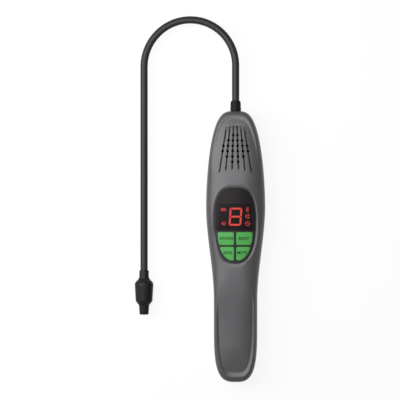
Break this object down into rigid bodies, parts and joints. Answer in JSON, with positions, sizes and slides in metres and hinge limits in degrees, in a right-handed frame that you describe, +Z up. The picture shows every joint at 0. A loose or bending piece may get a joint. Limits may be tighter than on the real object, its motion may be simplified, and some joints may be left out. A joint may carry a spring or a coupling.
{
  "type": "refrigerant leak detector",
  "caption": "Handheld refrigerant leak detector: long moulded housing with a display, green keys and a speaker grille, and a bendable gooseneck that ends in a capped sensor tip.",
  "frame": {"origin": "middle of the flat back, half way along the housing", "axes": "+X to the right of the display, +Y along the housing towards the gooseneck, +Z up out of the display"},
  "size_m": [0.1167, 0.3251, 0.0356],
  "materials": {
    "housing_grey": "satin moulded ABS with a fine spark texture",
    "panel_charcoal": "satin moulded plastic",
    "window_black": "gloss tinted acrylic",
    "key_green": "satin keys with dark print",
    "plunger_black": "moulded plastic",
    "switch_steel": "stamped cover",
    "display_module": "black module face",
    "board_green": "solder mask",
    "screw_steel": "zinc plated",
    "connector_ivory": "moulded nylon",
    "sounder_black": "moulded plastic",
    "cell_jacket": "plain printed jacket",
    "contact_nickel": "nickel plated spring strip",
    "boot_rubber": "soft moulded rubber",
    "sleeve_black": "smooth shrink sleeve",
    "core_steel": "wound steel strip",
    "lead_jacket": "extruded jacket",
    "tip_black": "satin moulded plastic",
    "sensor_metal": "plated can",
    "filter_white": "pressed felt"
  },
  "bodies": {
    "housing": {"front_shell": "housing_grey", "rear_shell": "housing_grey", "panel_bezel": "panel_charcoal", "display_window": "window_black", "power_switch": "switch_steel", "reset_switch": "switch_steel", "sensitivity_switch": "switch_steel", "mute_switch": "switch_steel", "led_display": "display_module", "circuit_board": "board_green", "board_screws": "screw_steel", "lead_connector": "connector_ivory", "sounder": "sounder_black", "cell_left": "cell_jacket", "cell_right": "cell_jacket", "contact_left": "contact_nickel", "contact_right": "contact_nickel", "contact_bridge": "contact_nickel", "housing_screws": "screw_steel", "strain_relief": "boot_rubber", "gooseneck_sleeve": "sleeve_black", "gooseneck_core": "core_steel", "sensor_lead": "lead_jacket", "sensor_collar": "tip_black", "seal_ring": "boot_rubber", "sensor_socket": "connector_ivory", "sensor_element": "sensor_metal"},
    "power_key": {"power_key": "key_green", "power_plunger": "plunger_black"},
    "reset_key": {"reset_key": "key_green", "reset_plunger": "plunger_black"},
    "sensitivity_key": {"sensitivity_key": "key_green", "sensitivity_plunger": "plunger_black"},
    "mute_key": {"mute_key": "key_green", "mute_plunger": "plunger_black"},
    "battery_door": {"battery_door": "housing_grey"},
    "sensor_cap": {"sensor_cap": "tip_black", "filter_disc": "filter_white"}
  },
  "joints": [
    {"name": "power_press", "type": "slide", "parent": "housing", "child": "power_key", "axis": [0, 0, -1], "range_m": [0, 0.0008], "stiffness_N_per_m": 800},
    {"name": "reset_press", "type": "slide", "parent": "housing", "child": "reset_key", "axis": [0, 0, -1], "range_m": [0, 0.0008], "stiffness_N_per_m": 800},
    {"name": "sensitivity_press", "type": "slide", "parent": "housing", "child": "sensitivity_key", "axis": [0, 0, -1], "range_m": [0, 0.0008], "stiffness_N_per_m": 800},
    {"name": "mute_press", "type": "slide", "parent": "housing", "child": "mute_key", "axis": [0, 0, -1], "range_m": [0, 0.0008], "stiffness_N_per_m": 800},
    {"name": "battery_door_slide", "type": "slide", "parent": "housing", "child": "battery_door", "axis": [0, -1, 0], "range_m": [0, 0.008]},
    {"name": "sensor_cap_pull", "type": "slide", "parent": "housing", "child": "sensor_cap", "axis": [0, -1, 0], "range_m": [0, 0.02]}
  ]
}
